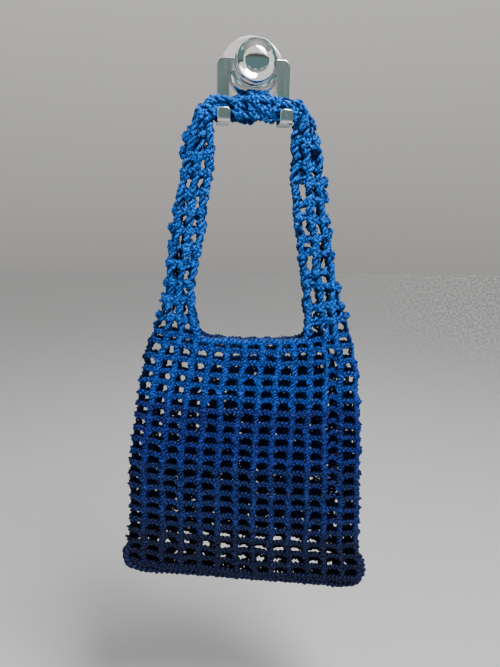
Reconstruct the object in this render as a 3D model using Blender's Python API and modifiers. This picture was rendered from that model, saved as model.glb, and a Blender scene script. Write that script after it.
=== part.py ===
"""A crocheted mesh bag, hung by its strap on a chrome wall hook.

Metres. The origin is the centre of the wall disc's flat back, on the wall: +X is to the right, +Y goes
into the wall and +Z is up, so every piece lies at y below zero and the bag hangs below the hook.
"""
import math

import bmesh
import bpy
from mathutils import Vector

# Wall disc: (radius, distance from the wall) down its outer side
DISC_RADIUS = 0.031
DISC_DEPTH = 0.013
DISC_PROFILE = [
    (0.0, DISC_DEPTH),
    (0.0170, DISC_DEPTH),
    (0.0225, 0.0118),
    (0.0270, 0.0088),
    (0.0297, 0.0052),
    (DISC_RADIUS, 0.0018),
    (DISC_RADIUS, 0.0),
    (0.0, 0.0),
]

# Hook plate: an upside-down U whose legs turn forward and up into prongs
TOUCH_GAP = 0.0003
SHEET = 0.0020
PLATE_BACK = DISC_DEPTH + TOUCH_GAP
PLATE_FRONT = PLATE_BACK + SHEET
PLATE_HALF_WIDTH = 0.035
PLATE_TOP = 0.0075
CUTOUT_HALF_WIDTH = 0.023
CUTOUT_TOP = -0.0040
CORNER_RADIUS = 0.006
TAB_RADIUS = 0.009
BEND_INSIDE = 0.0015
TROUGH_FLOOR = -0.0522
TROUGH_FRONT = 0.038
PRONG_TOP = -0.041
PRONG_CORNER = 0.0032
CORNER_STEPS = 4
BEND_STEPS = 3

# Knob: (radius, distance from the wall) down its outer side
KNOB_BACK = PLATE_FRONT + TOUCH_GAP
KNOB_PROFILE = [
    (0.0, 0.0468),
    (0.0110, 0.0462),
    (0.0122, 0.0448),
    (0.0134, 0.0452),
    (0.0166, 0.0427),
    (0.0188, 0.0385),
    (0.0196, 0.0335),
    (0.0192, 0.0285),
    (0.0178, 0.0238),
    (0.0166, 0.0218),
    (0.0180, 0.0202),
    (0.0186, 0.0182),
    (0.0178, KNOB_BACK),
    (0.0, KNOB_BACK),
]
TURNED_STEPS = 40

# Bag: the crocheted fabric and the plane it hangs in
FABRIC = 0.0052
THIN_EDGE = 0.58
HANG_PLANE = -0.0267
FOLD_HALF = 0.0034

# Body mesh: cells across one face and up a side, and the solid bands at the rim and the foot
FACE_CELLS = 9
BODY_ROWS = 12
STRAP_CELLS = 2
RIM_BAND = 0.026
FOOT_BAND = 0.044
BODY_BAR = 0.0105
STRAP_BAR = 0.0062

# Heights of the rim and the foot at the two side folds, which hang unevenly
RIM_LEFT = -0.2435
RIM_RIGHT = -0.2475
FOOT_LEFT = -0.5140
FOOT_RIGHT = -0.5485

# Body from rim to foot: how far down, the outer edge at each side, half the depth, the sag at the middle
BODY_SECTIONS = [
    # down   left     right   depth   sag
    (0.00, -0.0955, 0.1010, 0.0080, 0.0115),
    (0.10, -0.1040, 0.1120, 0.0090, 0.0065),
    (0.25, -0.1125, 0.1200, 0.0100, 0.0030),
    (0.45, -0.1200, 0.1230, 0.0104, 0.0010),
    (0.65, -0.1235, 0.1262, 0.0104, 0.0),
    (0.84, -0.1255, 0.1285, 0.0092, 0.0),
    (0.93, -0.1305, 0.1345, 0.0068, 0.0010),
    (1.00, -0.1240, 0.1290, 0.0040, 0.0020),
]

# Strap rows from the left side over the hook to the right side: the open inner edge, the folded outer
# edge and half the depth
STRAP_SECTIONS = [
    # inner x  inner z  outer x  outer z  depth
    (-0.0575, -0.2220, -0.0885, -0.2220, 0.0080),
    (-0.0545, -0.1980, -0.0840, -0.1980, 0.0082),
    (-0.0510, -0.1735, -0.0810, -0.1735, 0.0082),
    (-0.0475, -0.1490, -0.0770, -0.1490, 0.0080),
    (-0.0448, -0.1245, -0.0740, -0.1250, 0.0078),
    (-0.0415, -0.1000, -0.0696, -0.1010, 0.0076),
    (-0.0385, -0.0770, -0.0650, -0.0790, 0.0072),
    (-0.0376, -0.0575, -0.0600, -0.0600, 0.0066),
    (-0.0372, -0.0496, -0.0470, -0.0345, 0.0060),
    (-0.0130, -0.0510, -0.0130, -0.0290, 0.0056),
    (0.0130, -0.0510, 0.0130, -0.0290, 0.0056),
    (0.0372, -0.0496, 0.0470, -0.0365, 0.0060),
    (0.0376, -0.0580, 0.0585, -0.0590, 0.0066),
    (0.0365, -0.0800, 0.0635, -0.0800, 0.0072),
    (0.0370, -0.1040, 0.0690, -0.1040, 0.0076),
    (0.0385, -0.1290, 0.0732, -0.1290, 0.0080),
    (0.0420, -0.1540, 0.0787, -0.1540, 0.0082),
    (0.0455, -0.1790, 0.0835, -0.1790, 0.0082),
    (0.0505, -0.2040, 0.0890, -0.2040, 0.0082),
    (0.0550, -0.2280, 0.0960, -0.2280, 0.0080),
]

# Colours: base colour, roughness, metallic
BLUE_CORD = ((0.010, 0.085, 0.400, 1.0), 0.62, 0.0)
CHROME = ((0.78, 0.78, 0.77, 1.0), 0.08, 1.0)
BRUSHED_STEEL = ((0.62, 0.62, 0.60, 1.0), 0.22, 1.0)


def clear_scene():
    for old in list(bpy.data.objects):
        bpy.data.objects.remove(old, do_unlink=True)


def new_material(name, finish):
    colour, roughness, metallic = finish
    material = bpy.data.materials.new(name)
    material.use_nodes = True
    shader = material.node_tree.nodes["Principled BSDF"]
    shader.inputs["Base Color"].default_value = colour
    shader.inputs["Roughness"].default_value = roughness
    shader.inputs["Metallic"].default_value = metallic
    return material


def new_object(name, bm, collection, finish):
    mesh = bpy.data.meshes.new(name)
    bm.to_mesh(mesh)
    bm.free()
    piece = bpy.data.objects.new(name, mesh)
    mesh.materials.append(new_material(name + "_finish", finish))
    collection.objects.link(piece)
    return piece


def turned(name, profile, collection, finish):
    """A turned piece: its profile is spun about the line that stands straight out from the wall."""
    bm = bmesh.new()
    points = [bm.verts.new((radius, 0.0, out)) for radius, out in profile]
    for upper, lower in zip(points, points[1:]):
        bm.edges.new((upper, lower))
    piece = new_object(name, bm, collection, finish)
    screw = piece.modifiers.new("turn", "SCREW")
    screw.steps = TURNED_STEPS
    screw.render_steps = TURNED_STEPS
    screw.use_merge_vertices = True
    screw.merge_threshold = 0.00001
    screw.use_smooth_shade = True
    piece.rotation_euler = (math.radians(90), 0.0, 0.0)
    return piece


def arc(centre_x, centre_z, radius, start, end):
    """Points of an arc in the plate's plane, angles in degrees from +X towards +Z."""
    points = []
    for step in range(CORNER_STEPS + 1):
        angle = math.radians(start + (end - start) * step / CORNER_STEPS)
        points.append((centre_x + radius * math.cos(angle), centre_z + radius * math.sin(angle)))
    return points


def plate_outline(leg_end):
    """Around the flat part of the plate, with a tab behind the knob at the top of the cut-out."""
    outer_x = PLATE_HALF_WIDTH - CORNER_RADIUS
    outer_z = PLATE_TOP - CORNER_RADIUS
    inner_x = CUTOUT_HALF_WIDTH - CORNER_RADIUS
    inner_z = CUTOUT_TOP - CORNER_RADIUS
    tab_angle = math.degrees(math.asin(-CUTOUT_TOP / TAB_RADIUS))
    points = [(-PLATE_HALF_WIDTH, leg_end)]
    points += arc(-outer_x, outer_z, CORNER_RADIUS, 180, 90)
    points += arc(outer_x, outer_z, CORNER_RADIUS, 90, 0)
    points += [(PLATE_HALF_WIDTH, leg_end), (CUTOUT_HALF_WIDTH, leg_end)]
    points += arc(inner_x, inner_z, CORNER_RADIUS, 0, 90)
    points += arc(0.0, 0.0, TAB_RADIUS, -tab_angle, tab_angle - 180)
    points += arc(-inner_x, inner_z, CORNER_RADIUS, 90, 180)
    points += [(-CUTOUT_HALF_WIDTH, leg_end)]
    return points


def quarter_bend(bm, face, bend_line):
    """Bends the metal on from one end face by a quarter turn and gives the new end face."""
    turn = bmesh.ops.spin(bm, geom=[face], cent=bend_line, axis=(1.0, 0.0, 0.0), angle=-math.pi / 2,
                          steps=BEND_STEPS, use_duplicate=False)
    bmesh.ops.delete(bm, geom=[face], context="FACES_ONLY")
    return [part for part in turn["geom_last"] if isinstance(part, bmesh.types.BMFace)][0]


def run_on(bm, face, move):
    """Draws the metal straight on from one end face and gives the new end face."""
    drawn = bmesh.ops.extrude_face_region(bm, geom=[face])["geom"]
    points = [part for part in drawn if isinstance(part, bmesh.types.BMVert)]
    bmesh.ops.translate(bm, verts=points, vec=move)
    bmesh.ops.delete(bm, geom=[face], context="FACES_ONLY")
    return [part for part in drawn if isinstance(part, bmesh.types.BMFace)][0]


def build_plate(collection):
    leg_end = TROUGH_FLOOR + BEND_INSIDE
    bm = bmesh.new()
    outline = [bm.verts.new((x, -PLATE_FRONT, z)) for x, z in plate_outline(leg_end)]
    front = bm.faces.new(outline)
    drawn = bmesh.ops.extrude_face_region(bm, geom=[front], use_keep_orig=True)["geom"]
    back_points = [part for part in drawn if isinstance(part, bmesh.types.BMVert)]
    bmesh.ops.translate(bm, verts=back_points, vec=(0.0, SHEET, 0.0))
    bmesh.ops.recalc_face_normals(bm, faces=bm.faces)
    legs = [face for face in bm.faces if all(abs(v.co.z - leg_end) < 1e-6 for v in face.verts)]
    for leg in legs:
        middle = leg.calc_center_median().x
        low = quarter_bend(bm, leg, (middle, -PLATE_FRONT - BEND_INSIDE, leg_end))
        floor = run_on(bm, low, (0.0, PLATE_FRONT + 2 * BEND_INSIDE - TROUGH_FRONT, 0.0))
        up = quarter_bend(bm, floor, (middle, BEND_INSIDE - TROUGH_FRONT, leg_end))
        tip = run_on(bm, up, (0.0, 0.0, PRONG_TOP - leg_end))
        corners = [edge for edge in tip.edges if abs(edge.verts[0].co.x - edge.verts[1].co.x) < 1e-6]
        bmesh.ops.bevel(bm, geom=corners, offset=PRONG_CORNER, segments=2, profile=0.5,
                        affect="EDGES", material=-1)
    bmesh.ops.recalc_face_normals(bm, faces=bm.faces)
    return new_object("hook_plate", bm, collection, BRUSHED_STEEL)


def smooth_row(knots, rows, at):
    """A table's row at any place between its rows, on a smooth curve through them."""
    last = len(knots) - 2
    index = min(max(sum(1 for knot in knots if knot <= at) - 1, 0), last)
    span = knots[index + 1] - knots[index]
    share = (at - knots[index]) / span

    def slope(place, column):
        before = max(place - 1, 0)
        after = min(place + 1, len(knots) - 1)
        return (rows[after][column] - rows[before][column]) / (knots[after] - knots[before])

    values = []
    for column in range(len(rows[0])):
        start, end = rows[index][column], rows[index + 1][column]
        leave, arrive = slope(index, column) * span, slope(index + 1, column) * span
        curve = (2 * start - 2 * end + leave + arrive) * share ** 3
        curve += (3 * end - 3 * start - 2 * leave - arrive) * share ** 2
        values.append(curve + leave * share + start)
    return values


def body_ring(down):
    """One round of the body at a share of its height, from the left fold over the front and back."""
    knots = [row[0] for row in BODY_SECTIONS]
    left, right, depth, sag = smooth_row(knots, [row[1:] for row in BODY_SECTIONS], down)
    left += FABRIC / 2
    right -= FABRIC / 2
    left_z = RIM_LEFT + (FOOT_LEFT - RIM_LEFT) * down
    right_z = RIM_RIGHT + (FOOT_RIGHT - RIM_RIGHT) * down
    front = []
    back = []
    for post in range(FACE_CELLS + 1):
        across = post / FACE_CELLS
        off_middle = 2 * across - 1
        x = left + (right - left) * across
        z = left_z + (right_z - left_z) * across - sag * (1 - off_middle ** 2)
        half = FOLD_HALF + (depth - FOLD_HALF) * (1 - off_middle ** 4)
        front.append(Vector((x, HANG_PLANE - half, z)))
        back.append(Vector((x, HANG_PLANE + half, z)))
    return front + back[::-1]


def strap_course():
    """The strap's rows between its two ends, each from the front inner edge round the fold to the back."""
    rows = []
    for inner_x, inner_z, outer_x, outer_z, depth in STRAP_SECTIONS:
        inner = Vector((inner_x, HANG_PLANE, inner_z))
        across = Vector((outer_x, HANG_PLANE, outer_z)) - inner
        across -= across.normalized() * FABRIC / 2
        front = []
        back = []
        for post in range(STRAP_CELLS + 1):
            share = post / STRAP_CELLS
            out = Vector((0.0, FOLD_HALF + (depth - FOLD_HALF) * (1 - share ** 4), 0.0))
            front.append(inner + across * share - out)
            back.append(inner + across * share + out)
        rows.append(front + back[::-1])
    return rows


def loft(bm, rings, closed):
    """Faces between one ring of points and the next; gives them by row."""
    count = len(rings[0])
    spans = range(count if closed else count - 1)
    by_row = []
    for here, there in zip(rings, rings[1:]):
        row = []
        for i in spans:
            j = (i + 1) % count
            row.append(bm.faces.new((here[i], here[j], there[j], there[i])))
        by_row.append(row)
    return by_row


def open_cells(bm, cells, bar):
    """Cuts each cell's gap through, which leaves half a bar's width of fabric all round it."""
    bmesh.ops.inset_individual(bm, faces=cells, thickness=bar / 2, use_even_offset=True)
    bmesh.ops.delete(bm, geom=cells, context="FACES")


def build_bag(collection):
    bm = bmesh.new()
    places = [0.0]
    for row in range(BODY_ROWS + 1):
        places.append(RIM_BAND + (1.0 - RIM_BAND - FOOT_BAND) * row / BODY_ROWS)
    places.append(1.0)
    rings = [[bm.verts.new(point) for point in body_ring(down)] for down in places]
    body_rows = loft(bm, rings, closed=True)
    fold_right, fold_left = FACE_CELLS, 2 * FACE_CELLS + 1
    body_cells = []
    for row in body_rows[1:-1]:
        body_cells += [face for i, face in enumerate(row) if i not in (fold_right, fold_left)]

    foot = rings[-1]
    for i in range(FACE_CELLS):
        bm.faces.new((foot[i], foot[i + 1], foot[-2 - i], foot[-1 - i]))

    rim = rings[0]
    left_posts = [rim[i] for i in (2, 1, 0, -1, -2, -3)]
    right_posts = [rim[FACE_CELLS + i] for i in (-2, -1, 0, 1, 2, 3)]
    strap_rings = [[bm.verts.new(point) for point in row] for row in strap_course()]
    strap_rows = loft(bm, [left_posts] + strap_rings + [right_posts], closed=False)
    strap_cells = []
    for row in strap_rows:
        strap_cells += [face for i, face in enumerate(row) if i != STRAP_CELLS]

    bmesh.ops.recalc_face_normals(bm, faces=bm.faces)
    cord_lines = {vertex.co.to_tuple(6) for vertex in bm.verts}
    open_cells(bm, body_cells, BODY_BAR)
    open_cells(bm, strap_cells, STRAP_BAR)
    weights = bm.verts.layers.deform.verify()
    for vertex in bm.verts:
        if vertex.co.to_tuple(6) in cord_lines:
            vertex[weights][0] = 1.0

    bag = new_object("bag", bm, collection, BLUE_CORD)
    bag.vertex_groups.new(name="full thickness")
    wall = bag.modifiers.new("fabric", "SOLIDIFY")
    wall.thickness = FABRIC
    wall.offset = 0.0
    wall.vertex_group = "full thickness"
    wall.thickness_vertex_group = THIN_EDGE
    return bag


def main():
    clear_scene()
    collection = bpy.data.collections.new("mesh_bag_on_wall_hook")
    bpy.context.scene.collection.children.link(collection)
    turned("wall_disc", DISC_PROFILE, collection, CHROME)
    turned("knob", KNOB_PROFILE, collection, CHROME)
    build_plate(collection)
    build_bag(collection)


main()
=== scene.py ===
"""The looks of a crocheted mesh bag that hangs by its strap on a chrome wall hook.

The bag is worked in cord: rows of plait run round the body and across the strap, and posts of three
twisted strands cross them, so the gaps between are real holes. Lengths are in metres, in the frame's axes.
"""
import math

import bmesh
import bpy
import numpy as np
from mathutils import Matrix, Vector


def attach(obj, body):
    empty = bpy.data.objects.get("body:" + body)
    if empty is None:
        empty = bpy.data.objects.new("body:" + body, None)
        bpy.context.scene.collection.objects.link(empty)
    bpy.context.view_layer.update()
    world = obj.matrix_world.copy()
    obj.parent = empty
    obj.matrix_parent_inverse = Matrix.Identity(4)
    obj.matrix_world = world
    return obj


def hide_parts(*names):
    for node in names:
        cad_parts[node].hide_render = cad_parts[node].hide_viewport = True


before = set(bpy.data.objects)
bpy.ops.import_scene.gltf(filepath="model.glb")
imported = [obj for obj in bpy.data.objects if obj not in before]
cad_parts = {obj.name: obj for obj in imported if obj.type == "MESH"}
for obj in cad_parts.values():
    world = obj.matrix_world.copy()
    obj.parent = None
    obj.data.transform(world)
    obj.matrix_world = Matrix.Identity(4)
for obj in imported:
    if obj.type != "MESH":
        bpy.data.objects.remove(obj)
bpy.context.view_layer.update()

# The camera's place, turn in degrees, lens and sensor in millimetres
CAMERA_PLACE = (-0.0574, -0.5714, -0.1431)
CAMERA_YAW, CAMERA_PITCH, CAMERA_ROLL = -6.012, -11.484, -1.051
CAMERA_LENS = 29.74
SENSOR = 36.0

# The plane that the bag hangs in, and the heights of its rim and foot at both sides
HANG_PLANE = -0.0267
RIM_LEFT, RIM_RIGHT = -0.2435, -0.2475
FOOT_LEFT, FOOT_RIGHT = -0.5150, -0.5510
# How far the cords lie inside the outlines below, and the bands over the first row and under the last
EDGE_INSET, STRAP_INSET = 0.0030, 0.0034
RIM_BAND, FOOT_BAND = 0.026, 0.044
# Body from rim to foot, down as a share of its height: its sides, half its depth and the sag of a row
BODY_SECTIONS = np.array([
    # down   left     right   depth   sag
    (0.00, -0.0955, 0.1010, 0.0080, 0.0115),
    (0.10, -0.1048, 0.1110, 0.0090, 0.0065),
    (0.25, -0.1145, 0.1190, 0.0100, 0.0030),
    (0.45, -0.1235, 0.1235, 0.0104, 0.0010),
    (0.65, -0.1268, 0.1272, 0.0104, 0.0),
    (0.84, -0.1283, 0.1298, 0.0092, 0.0),
    (0.93, -0.1300, 0.1345, 0.0068, 0.0010),
    (1.00, -0.1240, 0.1290, 0.0040, 0.0020),
])

# Strap from the left rim over the hook to the right rim: open inner edge, folded outer edge and half depth
STRAP_SECTIONS = np.array([
    # inner x  inner z  outer x  outer z  depth
    (-0.0560, -0.2480, -0.0925, -0.2435, 0.0080),
    (-0.0575, -0.2220, -0.0885, -0.2220, 0.0080),
    (-0.0545, -0.1980, -0.0840, -0.1980, 0.0082),
    (-0.0492, -0.1735, -0.0810, -0.1735, 0.0082),
    (-0.0452, -0.1490, -0.0770, -0.1490, 0.0080),
    (-0.0428, -0.1245, -0.0740, -0.1250, 0.0078),
    (-0.0402, -0.1000, -0.0696, -0.1010, 0.0076),
    (-0.0385, -0.0770, -0.0650, -0.0790, 0.0072),
    (-0.0376, -0.0575, -0.0600, -0.0600, 0.0066),
    (-0.0372, -0.0496, -0.0470, -0.0345, 0.0060),
    (-0.0130, -0.0510, -0.0130, -0.0290, 0.0056),
    (0.0130, -0.0510, 0.0130, -0.0290, 0.0056),
    (0.0372, -0.0496, 0.0470, -0.0365, 0.0060),
    (0.0376, -0.0580, 0.0585, -0.0590, 0.0066),
    (0.0365, -0.0800, 0.0635, -0.0800, 0.0072),
    (0.0370, -0.1040, 0.0690, -0.1040, 0.0076),
    (0.0385, -0.1290, 0.0732, -0.1290, 0.0080),
    (0.0420, -0.1540, 0.0787, -0.1540, 0.0082),
    (0.0445, -0.1790, 0.0840, -0.1790, 0.0082),
    (0.0505, -0.2040, 0.0890, -0.2040, 0.0082),
    (0.0560, -0.2280, 0.0950, -0.2280, 0.0080),
    (0.0580, -0.2510, 0.0980, -0.2475, 0.0080),
])

# Towards the hook each layer of the strap curls: its posts' places across it, and shares of its half depth
CURL_POSTS, CURL_ACROSS, CURL_DEEP = (0, 1, 2, 3), (0, 0.47, 0.92, 1), (0.9, 1.1, 0.85, 0)
# How far the strap's back layer lies nearer its outer edge than the front one, on the left and on the right
STRAP_TUCK_LEFT, STRAP_TUCK_RIGHT = 0.0012, 0.0042
# By what share of a row it lies lower near the rims, and further along near the hook
STRAP_BACK_DOWN, STRAP_BACK_ALONG = 0.13, 0.5

# Knob and wall disc as (radius, distance from the disc's flat back), from the front's middle outwards
KNOB_PROFILE = [
    (0.0, 0.0408), (0.0040, 0.0407), (0.0080, 0.0404), (0.0104, 0.0400), (0.0113, 0.0396),
    (0.0117, 0.0394), (0.0122, 0.0396), (0.0140, 0.0404), (0.0158, 0.0411), (0.0171, 0.0415),
    (0.0178, 0.0416), (0.0183, 0.0413), (0.0187, 0.0406), (0.0191, 0.0391), (0.0194, 0.0374),
    (0.0195, 0.0355), (0.0196, 0.0333), (0.0195, 0.0310), (0.0192, 0.0285), (0.0186, 0.0260),
    (0.0178, 0.0238), (0.0170, 0.0226), (0.0167, 0.0218), (0.0171, 0.0209), (0.0180, 0.0202),
    (0.0185, 0.0193), (0.0186, 0.0182), (0.0183, 0.0169), (0.0178, 0.0156), (0.0, 0.0156),
]
DISC_PROFILE = [
    (0.0, 0.0130), (0.0168, 0.0130), (0.0178, 0.0129), (0.0200, 0.0125), (0.0225, 0.0118),
    (0.0250, 0.0105), (0.0270, 0.0088), (0.0286, 0.0071), (0.0297, 0.0052), (0.0305, 0.0036),
    (0.0309, 0.0020), (0.0310, 0.0), (0.0, 0.0),
]

# The net as it is worked: columns on one face and round the body, and rows down it
FACE_COLUMNS = 13
AROUND = 2 * FACE_COLUMNS
BODY_ROWS = 20
# The strap's columns on one layer and rows from rim to rim, and the columns that the opening lies between
STRAP_COLUMNS = 3
STRAP_ROWS = 30
OPENING = (3, 10)
# Near the rim the columns crowd towards the sides, and below it the net is turned a little round the body
RIM_CROWDING = 0.025
RIM_CROWDING_ROWS = 9
FOLD_SHIFT = 0.22
# The first row lies lower than the even spacing, by this share of a row
FIRST_ROW_SAG = 0.2

# The back layer's own lines, counted from the left fold: how many columns to the right and rows down it lies
BACK_COLUMNS = (0, 1.5, 2.5, 3.5, 4.5, 5.5, 7, 9, 10.5, 11.8, 13)
BACK_ACROSS = (0, -0.10, -0.10, 0.02, 0.13, 0.22, 0.30, 0.37, 0.40, 0.26, 0)
BACK_ROWS = (0, 2, 4, 6, 8, 10, 12, 14, 16, 17.2, 18.4, 20)
BACK_DOWN = (0, -0.10, 0.00, 0.08, 0.16, 0.24, 0.31, 0.36, 0.36, 0.24, 0, 0)
BACK_LOW_ACROSS, BACK_FOOT_ACROSS = -0.16, 0.45
BACK_LEFT_DOWN, BACK_RIM_DOWN = 0.38, 0.20
# How much wider the back layer's stitches are, by row, where the photo shows the front's holes as dark
CLOSED_AT = (0, 5, 8, 15.2, 16.5, 18.5, 19.3, 20)
CLOSED_ROWS = (0.34, 0.34, 0.48, 0.48, 0.18, 0.18, 0.60, 0.70)
CLOSED_POSTS = (0.34, 0.34, 0.80, 0.80, 0.20, 0.20, 0.60, 0.70)
# What its posts gain besides in the upper part, right of the middle
CLOSED_HIGH = 0.45
# A pleat down the front between two columns: how many rows its stitches rise, and how far it sinks in
PLEAT = (10.7, 12.0)
PLEAT_RISE, PLEAT_SINK = 0.35, 0.0040

# The cord's radius, the half widths and depths of a plait and a post of it, and a row's arch over a gap
CORD = 0.00132
PLAIT_WIDE, PLAIT_DEEP = 0.0023, 0.0015
POST_WIDE, POST_DEEP = 0.0028, 0.0015
ARCH = 0.0016
# Stitches of the body and the strap are this uneven, and so are the cord's line and its thickness
JITTER = 0.0008
STRAP_JITTER = 0.0018
LUMPS, LUMP_THICK = 0.00025, 0.09
# Rows of the strap's grid of unevenness near the hook, and how its offsets are scaled there and elsewhere
BUNCHED_ROWS = slice(12, 22)
BUNCHED, CALM = 1.05, 0.75
# In the strap the cord is thicker, and its line wanders
STRAP_THICK, STRAP_WANDER = 1.20, 0.0011
# A plait's turns round the body, and turns from one crossing to the next of other stitches
BODY_PLAIT_TURNS = 39
BODY_POST_TURNS, STRAP_PLAIT_TURNS, STRAP_POST_TURNS = 1.34, 0.85, 1.15
# Steps from one crossing to the next along rows and posts, and round a loop
ROW_STEPS, POST_STEPS, STRAP_STEPS = 10, 9, 8
LOOP_STEPS = 12
# The ropes at the rim and the foot: the radius that their strands run on, and the length of one turn
RIM_WIDE, RIM_TURN = 0.0019, 0.0150
SEAM_WIDE, SEAM_TURN = 0.0030, 0.0165
# A tube's bevel resolution, which gives it this many sides
TUBE_RESOLUTION = 1
TUBE_SIDES = 4 + 2 * TUBE_RESOLUTION
# Painted shade on the cord: how light it is painted between its lit and shaded sides, what facing outwards
# adds, and what lying on top adds
BODY_PAINTED_LIGHT = (0.44, 0.28, 0.34)
STRAP_PAINTED_LIGHT = (0.56, 0.22, 0.28)
# A cord's sunken side is painted lighter than its middle too, by this share of what its raised side gains
SUNKEN = 0.40
# How wide the plate's eased edges are, and the area over which its faces are shaded as flat
EASED = 0.0007
FLAT_FACE = 0.00003
# Points nearer each other than this are one
MERGE = 1e-6

rng = np.random.default_rng(12)


def smooth_table(at, knots, rows):
    """Values of a table's columns at many places, on a smooth curve through its rows."""
    index = np.clip(np.searchsorted(knots, at, side="right") - 1, 0, len(knots) - 2)
    slopes = np.gradient(rows, knots, axis=0)
    span = (knots[index + 1] - knots[index])[:, None]
    share = (at[:, None] - knots[index][:, None]) / span
    start, end = rows[index], rows[index + 1]
    leave, arrive = slopes[index] * span, slopes[index + 1] * span
    cubic = 2 * start - 2 * end + leave + arrive
    square = 3 * end - 3 * start - 2 * leave - arrive
    return ((cubic * share + square) * share + leave) * share + start


def ease(value):
    """From 0 to 1 with a soft start and end."""
    value = np.clip(value, 0, 1)
    return value * value * (3 - 2 * value)


def row_share(row):
    """How far down the body a row line lies, as a share of its height."""
    row = row - FIRST_ROW_SAG * np.exp(-((row - 1.0) / 0.7) ** 2)
    return RIM_BAND + (1 - RIM_BAND - FOOT_BAND) * row / BODY_ROWS


def back_shift(from_left, inward, row):
    """How far the back layer's lines lie to the right, in columns, and how far down, in rows."""
    low = BACK_LOW_ACROSS * ease((row - 9) / 7) + BACK_FOOT_ACROSS * ease((row - 15.6) / 1.5)
    low = low * ease((19.9 - row) / 1.3) * ease(inward / 0.15)
    right = np.interp(from_left, BACK_COLUMNS, BACK_ACROSS) + low
    left_down = BACK_LEFT_DOWN * ease((6 - from_left) / 3) * ease((12 - row) / 7)
    down = np.interp(row, BACK_ROWS, BACK_DOWN) + left_down
    return right, down * ease(inward / 0.12)


def body_place(column, row):
    """Points of the body's cloth: column 0 to 26 round it from the left fold, row 0 to 20 down it."""
    turn = np.mod(column - FOLD_SHIFT * ease(row / 5), AROUND)
    front = turn <= FACE_COLUMNS
    across = np.where(front, turn, AROUND - turn) / FACE_COLUMNS
    inward = np.minimum(across, 1 - across)
    back = np.where(front, 0.0, ease(row / 3))
    right_shift, down_shift = back_shift(AROUND - turn, inward, row)
    across = across + right_shift / FACE_COLUMNS * back
    pleat = np.where(front, ease((turn - PLEAT[0]) / 0.6) * ease((PLEAT[1] - turn) / 0.6), 0.0)
    pleat = pleat * ease(row / 2) * ease((17 - row) / 8)
    back_rim = np.where(front, 0.0, ease(1 - row / 2.5)) * ease((inward - 0.23) / 0.08)
    row = row + down_shift * back - PLEAT_RISE * pleat + BACK_RIM_DOWN * back_rim
    down = row_share(row)
    left, right, depth, sag = smooth_table(down, BODY_SECTIONS[:, 0], BODY_SECTIONS[:, 1:]).T
    crowd = RIM_CROWDING * np.clip(1 - row / RIM_CROWDING_ROWS, 0, 1.2) ** 2
    across = across - crowd * np.sin(2 * np.pi * across)
    off = 2 * across - 1
    left_z = RIM_LEFT + (FOOT_LEFT - RIM_LEFT) * down
    right_z = RIM_RIGHT + (FOOT_RIGHT - RIM_RIGHT) * down
    x = (left + EDGE_INSET) * (1 - across) + (right - EDGE_INSET) * across
    z = left_z * (1 - across) + right_z * across - sag * (1 - off ** 2)
    half = depth * np.sqrt(np.clip(1 - off ** 4, 0, 1))
    y = HANG_PLANE + np.where(front, PLEAT_SINK * pleat - half, half)
    return np.stack([x, y, z], axis=1)


# The strap's ends are the body's first row, from the rim to the fold
ENDS = body_place(np.array([OPENING[0], 0.0, OPENING[1], FACE_COLUMNS]), np.zeros(4))[:, [0, 2]]
STRAP_SECTIONS[0, 0:4] = ENDS[:2].ravel()
STRAP_SECTIONS[-1, 0:4] = ENDS[2:].ravel()
STATIONS = np.arange(len(STRAP_SECTIONS), dtype=float)
STRAP_MIDDLE = (STRAP_SECTIONS[:, 0:2] + STRAP_SECTIONS[:, 2:4]) / 2
STRAP_RUN = np.concatenate([[0.0], np.cumsum(np.linalg.norm(np.diff(STRAP_MIDDLE, axis=0), axis=1))])


def from_rim(row):
    """How many rows of the strap lie between a row and the nearer rim."""
    return np.minimum(row, STRAP_ROWS - row)


def strap_place(post, row):
    """Points of the strap: post 0 to 6 from its front inner edge round the fold, row 0 to 30 along it."""
    lower = STRAP_BACK_DOWN * np.sign(row - STRAP_ROWS / 2) * (1 - ease((from_rim(row) - 6) / 3))
    along = STRAP_BACK_ALONG * ease((from_rim(row) - 9) / 3)
    row = row + (along + lower) * ease(post - STRAP_COLUMNS)
    station = np.interp(row / STRAP_ROWS * STRAP_RUN[-1], STRAP_RUN, STATIONS)
    inner_x, inner_z, outer_x, outer_z, depth = smooth_table(station, STATIONS, STRAP_SECTIONS).T
    front = post <= STRAP_COLUMNS
    turn = np.where(front, post, 2 * STRAP_COLUMNS - post)
    curl = ease(from_rim(row) / 5)
    share = turn / STRAP_COLUMNS * (1 - curl) + np.interp(turn, CURL_POSTS, CURL_ACROSS) * curl
    width = np.hypot(outer_x - inner_x, outer_z - inner_z)
    inset = STRAP_INSET * ease(from_rim(row) / 3) / width
    across = inset + share * (1 - 2 * inset)
    tuck = np.where(row > STRAP_ROWS / 2, STRAP_TUCK_RIGHT, STRAP_TUCK_LEFT) * curl
    across = across + np.where(front, 0.0, ease((1 - share) / 0.6) * tuck / width)
    round_off = np.sqrt(np.clip(1 - share ** 4, 0, 1))
    half = depth * (round_off * (1 - curl) + np.interp(turn, CURL_POSTS, CURL_DEEP) * curl)
    x = inner_x + (outer_x - inner_x) * across
    z = inner_z + (outer_z - inner_z) * across
    y = HANG_PLANE + np.where(front, -half, half)
    return np.stack([x, y, z], axis=1)


def unit(vectors):
    """The same directions, each of length one."""
    return vectors / np.maximum(np.linalg.norm(vectors, axis=1, keepdims=True), 1e-12)


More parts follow.
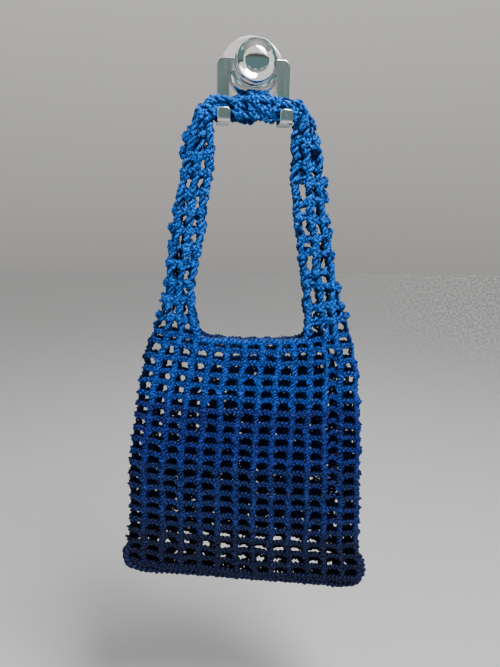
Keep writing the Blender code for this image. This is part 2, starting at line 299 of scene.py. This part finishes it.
class Cloth:
    """A cloth surface with its own small unevenness, on which stitches are laid."""

    def __init__(self, place, columns, rows, jitter, closed):
        self.place = place
        self.closed = closed
        self.uneven = rng.normal(0.0, jitter, (columns + 3, rows + 3, 3))
        if closed:
            self.uneven[columns] = self.uneven[0]
        self.columns = columns

    def shift(self, column, row):
        """Smooth random offsets across, down and out of the cloth."""
        u = np.mod(column, self.columns) if self.closed else np.clip(column, 0, self.columns)
        v = np.clip(row, -1.0, self.uneven.shape[1] - 2.001) + 1.0
        i, j = np.floor(u).astype(int), np.floor(v).astype(int)
        s, t = (u - i)[:, None], (v - j)[:, None]
        s, t = s * s * (3 - 2 * s), t * t * (3 - 2 * t)
        grid = self.uneven
        upper = grid[i, j] * (1 - s) + grid[i + 1, j] * s
        lower = grid[i, j + 1] * (1 - s) + grid[i + 1, j + 1] * s
        return upper * (1 - t) + lower * t

    def lay(self, column, row, across=0.0, down=0.0, out=0.0):
        """Points on the cloth, moved by metres across, down and out of it, and the way out there."""
        near = 0.02
        point = self.place(column, row)
        along_row = unit(self.place(column + near, row) - self.place(column - near, row))
        along_post = unit(self.place(column, row + near) - self.place(column, row - near))
        outward = unit(np.cross(along_post, along_row))
        uneven = self.shift(column, row)
        moved = (point + along_row * (across + uneven[:, 0])[:, None]
                 + along_post * (down + uneven[:, 1])[:, None]
                 + outward * (out + uneven[:, 2])[:, None])
        return moved, outward


BODY = Cloth(body_place, AROUND, BODY_ROWS, JITTER, closed=True)
STRAP = Cloth(strap_place, 2 * STRAP_COLUMNS, STRAP_ROWS, STRAP_JITTER, closed=False)
STRAP.uneven *= CALM
STRAP.uneven[:, BUNCHED_ROWS] *= BUNCHED / CALM


def strands(turns, count=3):
    """The angles of a few strands that run together, one after the other."""
    return [turns * 2 * np.pi + 2 * np.pi * k / count for k in range(count)]


def plait(cloth, column, row, turns, size=1.0, down=0.0, out=0.0, count=3):
    """Strands plaited along a line on the cloth that runs across it."""
    # The last value is how far a strand lies on top, which gives it more painted light
    return [(*cloth.lay(column, row, down=down + size * PLAIT_WIDE * np.sin(angle),
                        out=out + size * PLAIT_DEEP * np.sin(2 * angle)), np.sin(2 * angle))
            for angle in strands(turns, count)]


def twist(cloth, column, row, turns, size=1.0, out=0.0):
    """Strands twisted along a line on the cloth that runs down it."""
    # The last value is how far a strand lies outwards, which gives it more painted light
    return [(*cloth.lay(column, row, across=size * POST_WIDE * np.cos(angle),
                        out=out + size * POST_DEEP * np.sin(angle)), np.sin(angle))
            for angle in strands(turns)]


def loop(cloth, column, row, wide, high, out, lift):
    """A closed loop of cord that lies over a crossing, tilted at random."""
    angle = np.arange(LOOP_STEPS) * 2 * np.pi / LOOP_STEPS
    tilt = np.sin(angle + rng.uniform(0, 2 * np.pi))
    lean = rng.uniform(-0.5, 0.5)
    # The tilt also sets painted light: the side that tilts out of the cloth is painted lighter
    return (*cloth.lay(np.full(LOOP_STEPS, column), np.full(LOOP_STEPS, row),
                       across=wide * np.cos(angle) + lean * high * np.sin(angle),
                       down=high * np.sin(angle), out=out + lift * tilt), tilt)


def body_tone(row):
    """The dye's place on its scale, which goes from 0 at the strap's top to 1 at the foot."""
    return 0.40 + 0.60 * np.clip(row / BODY_ROWS, 0, 1)


def strap_tone(row):
    """The dye's place on its scale along the strap."""
    return 0.72 * np.abs(row / STRAP_ROWS - 0.5)


class Skein:
    """Lines of cord that become one piece."""

    def __init__(self, light=BODY_PAINTED_LIGHT):
        self.lines = []
        # Painted light: its share at a cord's middle, and what facing outwards and lying on top add to it
        self.middle, self.facing, self.front = light

    def add(self, strand, tone, closed=False, thick=1.0, wander=0.0):
        """Adds a strand that is a little uneven, and whose line wanders sideways where that is asked for."""
        points, outward, front = strand
        points = points + rng.normal(0, LUMPS, points.shape)
        if wander:
            step = np.arange(len(points))
            blur = np.array([0.25, 0.5, 0.25])
            for axis in range(3):
                aside = np.interp(step, step[::4], rng.normal(0, wander, len(step[::4])))
                points[:, axis] += np.convolve(np.pad(aside, 1, mode="edge"), blur, mode="valid")
        thick = thick * (1 + rng.normal(0, LUMP_THICK, len(points)))
        self.lines.append((points, outward, front, np.broadcast_to(tone, len(points)), closed, thick))

    def piece(self, name):
        """A tube along every line, as one mesh, with the values that its material reads."""
        curve = bpy.data.curves.new(name + "_line", "CURVE")
        curve.dimensions = "3D"
        curve.bevel_depth = CORD
        curve.bevel_resolution = TUBE_RESOLUTION
        for points, outward, front, tone, closed, thick in self.lines:
            spline = curve.splines.new("POLY")
            spline.points.add(len(points) - 1)
            spline.points.foreach_set("co", np.c_[points, np.ones(len(points))].ravel())
            if not closed:
                thick[[0, -1]] = 0.1
            spline.points.foreach_set("radius", thick)
            spline.use_cyclic_u = closed
        guide = bpy.data.objects.new(name + "_guide", curve)
        bpy.context.scene.collection.objects.link(guide)
        bpy.context.view_layer.update()
        shown = guide.evaluated_get(bpy.context.evaluated_depsgraph_get())
        mesh = bpy.data.meshes.new_from_object(shown)
        mesh.name = name
        bpy.data.objects.remove(guide)
        self.write_values(mesh)
        mesh.shade_smooth()
        made = bpy.data.objects.new(name, mesh)
        bpy.context.scene.collection.objects.link(made)
        return made

    def write_values(self, mesh):
        """The dye's tone, how much painted light each point gets, and the lay of the cord's own strands."""
        count = sum(len(line[0]) for line in self.lines) * TUBE_SIDES
        if count != len(mesh.vertices):
            raise RuntimeError(f"{mesh.name}: {count} values for {len(mesh.vertices)} points")
        place = np.empty(count * 3)
        mesh.vertices.foreach_get("co", place)
        place = place.reshape(-1, TUBE_SIDES, 3)
        circle = 2 * np.pi * np.arange(TUBE_SIDES) / TUBE_SIDES
        tones, painted_light_values, lays = [], [], []
        first = 0
        for points, outward, front, tone, closed, thick in self.lines:
            ring = place[first:first + len(points)] - points[:, None]
            first += len(points)
            # Painted shade: a point gets less painted light where it faces into the cloth or its strand lies
            # under others
            facing = np.einsum("nsk,nk->ns", ring, outward) / (CORD * thick[:, None])
            outer = self.facing * facing + self.front * front[:, None]
            painted_light_values.append(self.middle + np.maximum(outer, -SUNKEN * outer))
            along = np.concatenate([[0.0], np.cumsum(np.linalg.norm(np.diff(points, axis=0), axis=1))])
            tones.append(np.repeat(tone, TUBE_SIDES))
            lays.append(np.stack([np.tile(np.cos(circle), len(points)), np.tile(np.sin(circle), len(points)),
                                  np.repeat(along, TUBE_SIDES)], axis=1))
        for name, kind, key, values in (
            ("tone", "FLOAT", "value", tones),
            ("open", "FLOAT", "value", painted_light_values),
            ("lay", "FLOAT_VECTOR", "vector", lays),
        ):
            mesh.attributes.new(name, kind, "POINT").data.foreach_set(key, np.concatenate(values).ravel())


def behind(column):
    """1 on the back layer and 0 on the front one."""
    return ease((column - FACE_COLUMNS) / 0.6) * ease((AROUND - column) / 0.6)


def body_rows():
    """Rows of plait round the body, each arched and thinner over the gap below it."""
    skein = Skein()
    column = np.arange(AROUND * ROW_STEPS) / ROW_STEPS
    middle = np.sin(np.pi * column) ** 2
    back = behind(column)
    for row in range(BODY_ROWS + 1):
        turns = column * (BODY_PLAIT_TURNS + row % 2) / AROUND + 0.37 * row
        line = np.full(len(column), float(row))
        foot = ease(row - 19)
        closed = 1 + np.interp(row, CLOSED_AT, CLOSED_ROWS) * back
        size = (1.0 + 0.3 * foot) * (1.08 - 0.20 * middle) * closed
        out = 0.0005 + 0.0006 * middle
        for strand in plait(BODY, column, line, turns, size=size, down=-ARCH * middle, out=out):
            skein.add(strand, body_tone(row), closed=True, thick=1.0 + 0.2 * foot + 0.14 * back)
    return skein.piece("bag_rows")


def body_posts():
    """Posts of twisted strands down the body, which sink in a little at the rows."""
    skein = Skein()
    row = np.arange(-0.2 * POST_STEPS, BODY_ROWS * POST_STEPS + 3) / POST_STEPS
    out = 0.0002 - 0.0006 * np.cos(np.pi * row) ** 2
    for column in range(AROUND):
        line = np.full(len(row), float(column))
        from_left = AROUND - column
        high = CLOSED_HIGH * ease((from_left - 5) / 1.5) * ease((12 - from_left) / 1.5) * ease((8 - row) / 2)
        wide = 1 + (np.interp(row, CLOSED_AT, CLOSED_POSTS) + high) * behind(column)
        turns = row * BODY_POST_TURNS + 0.21 * column
        for strand in twist(BODY, line, row, turns, size=wide, out=out):
            skein.add(strand, body_tone(np.floor(row + 0.3)), thick=0.97 + 0.08 * wide, wander=0.0003)
    return skein.piece("bag_posts")


def strap_size(row):
    """How much thicker the stitches look where the strap is bunched up towards the hook."""
    return 1.0 + 0.25 * ease((from_rim(row) - 8) / 4)


def strap_rows():
    """Rows of plait across the strap, which stand out as knobs where they turn round its fold."""
    skein = Skein(STRAP_PAINTED_LIGHT)
    post = np.arange(2 * STRAP_COLUMNS * STRAP_STEPS + 1) / STRAP_STEPS
    fold = np.exp(-((post - STRAP_COLUMNS) / 0.7) ** 2)
    edge = 1 - ease(np.minimum(post, 2 * STRAP_COLUMNS - post) / 1.6)
    for number in range(1, STRAP_ROWS):
        line = np.full(len(post), float(number))
        knob = 0.0019 * fold * rng.uniform(0.3, 1.7)
        open_edge = edge * ease((number - 16) / 3) * ease((29 - number) / 2)
        uneven = 0.0036 * open_edge * (-1) ** number
        size = strap_size(line) * (1.10 + 0.30 * fold - 0.35 * open_edge)
        turns = post * STRAP_PLAIT_TURNS + 0.3 * number
        for strand in plait(STRAP, post, line, turns, size=size, down=uneven, out=knob, count=4):
            skein.add(strand, strap_tone(number), thick=STRAP_THICK, wander=STRAP_WANDER)
    return skein.piece("strap_rows")


def strap_posts():
    """Posts of twisted strands along the strap, which sink in at the rows and most at its fold."""
    skein = Skein(STRAP_PAINTED_LIGHT)
    row = np.arange(STRAP_ROWS * STRAP_STEPS + 1) / STRAP_STEPS
    size = 0.95 * strap_size(row)
    for post in range(2 * STRAP_COLUMNS + 1):
        line = np.full(len(row), float(post))
        out = 0.0004 - 0.0014 * np.cos(np.pi * row) ** 2 - (0.0010 if post == STRAP_COLUMNS else 0.0)
        turns = row * STRAP_POST_TURNS + 0.27 * post
        for strand in twist(STRAP, line, row, turns, size=size, out=out):
            skein.add(strand, strap_tone(row), thick=STRAP_THICK, wander=STRAP_WANDER)
    return skein.piece("strap_posts")


def crossing_loops():
    """Loops over the crossings: one at each of the body's, two at the strap's, three at its fold and top."""
    skein = Skein()
    for row in range(1, BODY_ROWS):
        for column in range(AROUND):
            place = float(column), row + rng.uniform(0.02, 0.20)
            made = loop(BODY, *place, wide=0.0036, high=0.0026, out=0.0012, lift=0.0010)
            skein.add(made, body_tone(row), closed=True)
    for number in range(1, STRAP_ROWS):
        bunched = abs(number - STRAP_ROWS / 2) < 5
        spread, thick = (0.35, 1.05) if bunched else (0.15, 1.25)
        ring = 0.0017 * strap_size(number) if bunched else 0.0023
        for post in range(2 * STRAP_COLUMNS + 1):
            at_fold = post == STRAP_COLUMNS
            raised = 0.5 if bunched else float(at_fold)
            for extra in range(3 if bunched or at_fold else 2):
                place = post + rng.uniform(-spread, spread), number + rng.uniform(-spread, spread)
                out = 0.0006 + 0.0018 * rng.uniform(0.2, 1.5) * raised
                made = loop(STRAP, *place, wide=ring, high=1.1 * ring, out=out, lift=0.7 * ring)
                skein.add(made, strap_tone(number), closed=True, thick=thick)
    return skein.piece("crossing_loops")


def rope(knots, wide, turn_length, facing):
    """Three strands twisted round a smooth path, thinner at both ends, with most painted light at the angle
    they face.
    """
    run = np.concatenate([[0.0], np.cumsum(np.linalg.norm(np.diff(knots, axis=0), axis=1))])
    at = np.arange(0.0, run[-1], 0.0018)
    line = smooth_table(at, run, knots)
    forward = unit(np.gradient(line, axis=0))
    side = unit(np.cross(forward, np.array([0.0, 1.0, 0.0])))
    wide = wide * (0.55 + 0.45 * ease(np.minimum(at, run[-1] - at) / 0.012))
    made = []
    for angle in strands(at / turn_length):
        turned = side * (wide * np.cos(angle))[:, None]
        turned[:, 1] += wide * np.sin(angle)
        # The last value gives painted light, most where a strand lies towards the facing angle
        made.append((line + turned, unit(turned), np.cos(angle - facing)))
    return made


def rim_edge():
    """A rope on each side of the opening that turns up a little way along the strap's inner edge."""
    skein = Skein()
    up = np.array([2.2, 1.4, 0.75])
    across = np.linspace(OPENING[0] + 0.42, OPENING[1] - 0.42, 12)
    # Each rope faces out of the bag, where it gets most painted light
    for post, column, facing in (
        (0.0, across, -math.pi / 2),
        (2.0 * STRAP_COLUMNS, AROUND - across, math.pi / 2),
    ):
        knots = np.concatenate([
            STRAP.lay(np.full(len(up), post), up)[0],
            BODY.lay(column, np.full(len(column), -0.12))[0],
            STRAP.lay(np.full(len(up), post), STRAP_ROWS - up[::-1])[0],
        ])
        for strand in rope(knots, RIM_WIDE, RIM_TURN, facing):
            skein.add(strand, body_tone(0), thick=1.3)
    return skein.piece("rim_edge")


# The rope of the foot's seam, from the left ear along the foot to the right ear: x and z
SEAM = (
    (-0.1225, -0.4800),
    (-0.1272, -0.4880),
    (-0.1292, -0.4975),
    (-0.1262, -0.5065),
    (-0.1170, -0.5112),
    (-0.0800, -0.5172),
    (-0.0400, -0.5230),
    (0.0000, -0.5286),
    (0.0400, -0.5343),
    (0.0800, -0.5398),
    (0.1150, -0.5445),
    (0.1262, -0.5430),
    (0.1312, -0.5340),
    (0.1315, -0.5215),
    (0.1275, -0.5090),
)


def foot_seam():
    """The crocheted seam: a rope along the foot that turns up at both ends."""
    skein = Skein()
    knots = np.array([(x, HANG_PLANE, z) for x, z in SEAM])
    # It gets most painted light on its side towards the front
    for strand in rope(knots, SEAM_WIDE, SEAM_TURN, facing=-math.pi / 2):
        skein.add(strand, 1.0, thick=1.6)
    return skein.piece("foot_seam")


class Maths:
    """A shader value that Python's operators work on, by adding Math nodes."""

    def __init__(self, tree, socket):
        self.tree = tree
        self.socket = socket

    def join(self, operation, *values):
        """Adds a Math node that works on these values."""
        node = self.tree.nodes.new("ShaderNodeMath")
        node.operation = operation
        for place, value in zip(node.inputs, values):
            if isinstance(value, Maths):
                self.tree.links.new(value.socket, place)
            else:
                place.default_value = value
        return Maths(self.tree, node.outputs[0])

    def __add__(self, other):
        return self.join("ADD", self, other)

    def __radd__(self, other):
        return self.join("ADD", other, self)

    def __sub__(self, other):
        return self.join("SUBTRACT", self, other)

    def __rsub__(self, other):
        return self.join("SUBTRACT", other, self)

    def __mul__(self, other):
        return self.join("MULTIPLY", self, other)

    def __rmul__(self, other):
        return self.join("MULTIPLY", other, self)

    def sine(self):
        return self.join("SINE", self)

    def cosine(self):
        return self.join("COSINE", self)

    def at_least(self, value):
        return self.join("MAXIMUM", self, value)

    def clipped(self):
        return self.join("MINIMUM", self.at_least(0.0), 1.0)

    def above(self, start, sharp):
        """From 0 at the start up to 1, faster the sharper it is."""
        return ((self - start) * sharp).clipped()

    def below(self, end, sharp):
        """From 1 down to 0 at the end, faster the sharper it is."""
        return ((end - self) * sharp).clipped()


# The places of a colour mix node's sockets: its share, two colours, and the colour that comes out
MIX_SHARE, MIX_FIRST, MIX_SECOND, MIX_COLOUR = 0, 6, 7, 2


class Finish:
    """A material with a Principled shader, and one way to add any other node."""

    def __init__(self, name, colour=(0.5, 0.5, 0.5), **sockets):
        self.material = bpy.data.materials.new(name)
        self.material.use_nodes = True
        self.tree = self.material.node_tree
        self.shader = self.tree.nodes["Principled BSDF"]
        self.shader.inputs["Base Color"].default_value = (*colour, 1.0)
        for socket, value in sockets.items():
            self.shader.inputs[socket.replace("_", " ")].default_value = value

    def node(self, kind, settings=None, **inputs):
        """Adds a node of a kind: its settings first, then values or links by socket name."""
        made = self.tree.nodes.new(kind)
        for key, value in (settings or {}).items():
            if key == "stops":
                ramp = made.color_ramp
                while len(ramp.elements) < len(value):
                    ramp.elements.new(0.5)
                for element, (place, colour) in zip(ramp.elements, value):
                    element.position = place
                    element.color = (*colour, 1.0)
            else:
                setattr(made, key, value)
        for key, value in inputs.items():
            self.give(made.inputs[key.replace("_", " ")], value)
        return made

    def give(self, socket, value):
        """Links an input to what a value comes from, or sets it to a plain value."""
        if isinstance(value, Maths):
            self.tree.links.new(value.socket, socket)
        elif isinstance(value, bpy.types.NodeSocket):
            self.tree.links.new(value, socket)
        else:
            socket.default_value = value

    def set(self, socket, value):
        self.give(self.shader.inputs[socket], value)

    def value(self, socket):
        return Maths(self.tree, socket)


# The dye's colours down the bag: where each begins on the tone scale, and its linear colour
DYES = [
    (0.00, (0.001, 0.115, 0.520)),
    (0.30, (0.001, 0.095, 0.450)),
    (0.42, (0.005, 0.060, 0.345)),
    (0.545, (0.006, 0.055, 0.335)),
    (0.565, (0.009, 0.025, 0.190)),
    (0.700, (0.009, 0.027, 0.200)),
    (0.722, (0.009, 0.023, 0.130)),
    (0.868, (0.010, 0.023, 0.130)),
    (0.892, (0.008, 0.014, 0.058)),
    (1.00, (0.008, 0.013, 0.054)),
]
# The length in which the cord's own strands turn once
PLY_PITCH = 0.0024


def cord_finish():
    """Matt dyed cord: its twist as a bump and as painted shade, flecks and patches in the dye, painted shade
    where it isn't raised.
    """
    finish = Finish("dyed_cord", Roughness=0.5, Specular_IOR_Level=0.12)
    tone = finish.node("ShaderNodeAttribute", {"attribute_name": "tone"})
    painted_light = finish.value(finish.node("ShaderNodeAttribute", {"attribute_name": "open"}).outputs["Fac"])
    lay = finish.node("ShaderNodeAttribute", {"attribute_name": "lay"})
    parts = finish.node("ShaderNodeSeparateXYZ", Vector=lay.outputs["Vector"])
    cos_round = finish.value(parts.outputs["X"])
    sin_round = finish.value(parts.outputs["Y"])
    angle = finish.value(parts.outputs["Z"]) * (2 * math.pi / PLY_PITCH)
    # The cord's twist, used as a bump and as painted shade in the colour
    ply = (angle.sine() * cos_round + angle.cosine() * sin_round) * 0.5 + 0.5
    spot = finish.node("ShaderNodeTexCoord").outputs["Object"]
    fleck = finish.node("ShaderNodeTexNoise", Vector=spot, Scale=900.0, Detail=2.0)
    stitch = finish.node("ShaderNodeTexNoise", Vector=spot, Scale=420.0, Detail=1.0)
    patch = finish.node("ShaderNodeTexNoise", Vector=spot, Scale=55.0, Detail=2.0)
    dye = finish.node("ShaderNodeValToRGB", {"stops": DYES}, Fac=tone.outputs["Fac"])
    speck, loose, broad = (finish.value(noise.outputs["Fac"]) for noise in (fleck, stitch, patch))
    # Flecks and patches in the dye, with the twist's grooves as painted shade
    flecks_and_ply_shade = (broad * 0.5 + loose * 2.4 + speck * 1.2 + ply * 0.8 - 1.44).at_least(0.15)
    # Painted shade: the dye is darkened where the cord faces in or lies under other strands
    shade = flecks_and_ply_shade * (painted_light * painted_light * (painted_light * 2.2 - 0.80) + 0.06)
    painted_shade_mix = finish.node("ShaderNodeMix", {"data_type": "RGBA", "blend_type": "MULTIPLY"})
    grey = finish.node("ShaderNodeCombineColor", Red=shade, Green=shade, Blue=shade)
    finish.give(painted_shade_mix.inputs[MIX_SHARE], 1.0)
    finish.give(painted_shade_mix.inputs[MIX_FIRST], dye.outputs["Color"])
    finish.give(painted_shade_mix.inputs[MIX_SECOND], grey.outputs["Color"])
    finish.set("Base Color", painted_shade_mix.outputs[MIX_COLOUR])
    finish.set("Roughness", speck * 0.25 + 0.32)
    bump = finish.node("ShaderNodeBump", Strength=0.8, Distance=0.0004, Height=ply * 0.5 + speck * 0.5)
    finish.set("Normal", bump.outputs["Normal"])
    return finish.material


def chrome_finish():
    """Polished chrome with a faint unevenness in its gloss."""
    finish = Finish("polished_chrome", (0.80, 0.80, 0.79), Metallic=1.0, Roughness=0.06)
    spot = finish.node("ShaderNodeTexCoord").outputs["Object"]
    water = finish.node("ShaderNodeTexNoise", Vector=spot, Scale=140.0, Detail=3.0)
    finish.set("Roughness", finish.value(water.outputs["Fac"]) * 0.06 + 0.03)
    return finish.material


def steel_finish():
    """Bright steel with a fine grain that runs up and down."""
    finish = Finish("bright_steel", (0.66, 0.66, 0.64), Metallic=1.0, Roughness=0.2)
    spot = finish.node("ShaderNodeTexCoord").outputs["Object"]
    stretch = finish.node("ShaderNodeMapping", Vector=spot, Scale=(400.0, 400.0, 30.0))
    grain = finish.node("ShaderNodeTexNoise", Vector=stretch.outputs["Vector"], Scale=1.0, Detail=3.0)
    finish.set("Roughness", finish.value(grain.outputs["Fac"]) * 0.16 + 0.12)
    bump = finish.node("ShaderNodeBump", Strength=0.25, Distance=0.0001, Height=grain.outputs["Fac"])
    finish.set("Normal", bump.outputs["Normal"])
    return finish.material


# The bag
rows = body_rows()
net = [rows, body_posts(), strap_rows(), strap_posts(), crossing_loops(), rim_edge(), foot_seam()]
cord = cord_finish()
for piece in net:
    piece.data.materials.clear()
    piece.data.materials.append(cord)
    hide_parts("bag")
    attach(piece, "root")


def dress(name, bm, finish):
    """A piece from a bmesh, smooth but for its sharp edges."""
    mesh = bpy.data.meshes.new(name)
    bm.to_mesh(mesh)
    bm.free()
    mesh.materials.append(finish)
    mesh.shade_smooth()
    mesh.set_sharp_from_angle(angle=math.radians(32))
    made = bpy.data.objects.new(name, mesh)
    bpy.context.scene.collection.objects.link(made)
    return made


def turned(name, profile, finish, steps=96):
    """A piece spun about the line that stands straight out of the disc's back, from (radius, out) points."""
    bm = bmesh.new()
    points = [bm.verts.new((radius, -out, 0.0)) for radius, out in profile]
    line = [bm.edges.new(pair) for pair in zip(points, points[1:])]
    bmesh.ops.spin(bm, geom=points + line, cent=(0, 0, 0), axis=(0, 1, 0), angle=2 * math.pi, steps=steps,
                   use_merge=True)
    bmesh.ops.remove_doubles(bm, verts=bm.verts, dist=MERGE)
    bmesh.ops.recalc_face_normals(bm, faces=bm.faces)
    return dress(name, bm, finish)


def eased_plate(finish):
    """The hook plate with its cut edges eased, as they catch the light."""
    bm = bmesh.new()
    bm.from_mesh(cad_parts["hook_plate"].data)
    bmesh.ops.remove_doubles(bm, verts=bm.verts, dist=MERGE)
    bmesh.ops.dissolve_limit(bm, angle_limit=math.radians(2), verts=bm.verts, edges=bm.edges)
    sharp = [edge for edge in bm.edges if edge.calc_face_angle(0.0) > math.radians(50)]
    bmesh.ops.bevel(bm, geom=sharp, offset=EASED, segments=3, profile=0.5, affect="EDGES", material=-1,
                    clamp_overlap=True)
    made = dress("plate_sheet", bm, finish)
    for face in made.data.polygons:
        face.use_smooth = face.area < FLAT_FACE
    return made


def camera():
    """The camera that sees the bag as the photo does."""
    turn = (Matrix.Rotation(math.radians(CAMERA_YAW), 4, "Z")
            @ Matrix.Rotation(math.radians(CAMERA_PITCH), 4, "X")
            @ Matrix.Rotation(math.radians(CAMERA_ROLL), 4, "Y")
            @ Matrix.Rotation(math.radians(90), 4, "X"))
    eye = bpy.data.objects.new("camera", bpy.data.cameras.new("camera"))
    eye.data.lens = CAMERA_LENS
    eye.data.sensor_width = SENSOR
    eye.data.sensor_fit = "AUTO"
    eye.data.clip_start = 0.01
    eye.matrix_world = Matrix.Translation(CAMERA_PLACE) @ turn
    bpy.context.scene.collection.objects.link(eye)
    bpy.context.scene.camera = eye


# The studio's lamps, as name, place, side and power, and the point that they face
LAMPS = (
    ("key", (0.38, -0.66, 1.0), 0.5, 28.0),
    ("fill", (-1.2, -1.0, 0.1), 1.2, 4.0),
    ("back", (0.3, 1.0, 0.9), 1.0, 3.0),
)
LAMPS_FACE = (0.0, -0.02, -0.28)
# Its floor: height and half its side
FLOOR_HEIGHT, FLOOR_HALF = -0.75, 6.0
# What the chrome mirrors: where the bright ceiling begins, as the height of a direction, and two tints
CEILING = 0.36
WARM_WHITE, SEA_GREEN = (1.0, 0.98, 0.95, 1.0), (0.52, 0.93, 0.95, 1.0)


def lamps():
    """Square lamps that face the bag's middle."""
    for name, place, side, power in LAMPS:
        lamp = bpy.data.lights.new(name, "AREA")
        lamp.shape = "RECTANGLE"
        lamp.size = lamp.size_y = side
        lamp.energy = power
        made = bpy.data.objects.new(name, lamp)
        made.location = place
        made.rotation_euler = (Vector(LAMPS_FACE) - Vector(place)).to_track_quat("-Z", "Y").to_euler()
        bpy.context.scene.collection.objects.link(made)


def floor():
    """A pale floor that takes the bag's soft shadow."""
    bm = bmesh.new()
    bmesh.ops.create_grid(bm, x_segments=1, y_segments=1, size=FLOOR_HALF)
    mesh = bpy.data.meshes.new("floor")
    bm.to_mesh(mesh)
    bm.free()
    made = bpy.data.objects.new("floor", mesh)
    made.location = (0.0, 0.0, FLOOR_HEIGHT)
    bpy.context.scene.collection.objects.link(made)
    mesh.materials.append(Finish("pale_floor", (0.78, 0.79, 0.80), Roughness=0.7).material)


def studio_air():
    """The light all round: a soft glow, the camera's plain backdrop, and a room for the chrome to mirror."""
    world = bpy.data.worlds.new("studio")
    bpy.context.scene.world = world
    world.use_nodes = True
    tree = world.node_tree
    background = tree.nodes["Background"]
    direction = tree.nodes.new("ShaderNodeTexCoord").outputs["Generated"]
    parts = tree.nodes.new("ShaderNodeSeparateXYZ")
    tree.links.new(direction, parts.inputs["Vector"])
    side, ahead, up = (Maths(tree, parts.outputs[axis]) for axis in "XYZ")
    path = tree.nodes.new("ShaderNodeLightPath")
    seen, mirrored = (Maths(tree, path.outputs[ray]) for ray in ("Is Camera Ray", "Is Glossy Ray"))
    glow = (up * 0.25 - ahead * 0.28 + 0.15).clipped()
    backdrop = (up * 0.55 + 0.39).clipped()
    ceiling = up.above(CEILING, 14.0) * 1.05
    sides = up.above(-0.20, 12.0) * up.below(CEILING, 12.0) * 0.20
    streaks = ((side * 24.0).sine() * 5.0).clipped() * up.below(0.02, 14.0) * 0.80
    window = side.above(0.18, 14.0) * side.below(0.60, 14.0)
    window = window * up.above(0.42, 14.0) * up.below(0.80, 14.0) * 5.0
    room = ceiling + sides + window + streaks + 0.05
    strength = seen * backdrop + (1.0 - seen) * (mirrored * room + (1.0 - mirrored) * glow)
    tree.links.new(strength.socket, background.inputs["Strength"])
    tint = tree.nodes.new("ShaderNodeMix")
    tint.data_type = "RGBA"
    tint.inputs[MIX_FIRST].default_value = WARM_WHITE
    tint.inputs[MIX_SECOND].default_value = SEA_GREEN
    low = mirrored * up.below(CEILING, 12.0)
    tree.links.new(low.socket, tint.inputs[MIX_SHARE])
    tree.links.new(tint.outputs[MIX_COLOUR], background.inputs["Color"])


# The hook
chrome = chrome_finish()
for made, node, material_slot in (
    (turned("knob_turned", KNOB_PROFILE, chrome), "knob", "chrome"),
    (turned("disc_turned", DISC_PROFILE, chrome), "wall_disc", "chrome"),
    (eased_plate(steel_finish()), "hook_plate", "plate_steel"),
):
    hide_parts(node)
    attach(made, "root")

camera()
studio_air()
floor()
lamps()
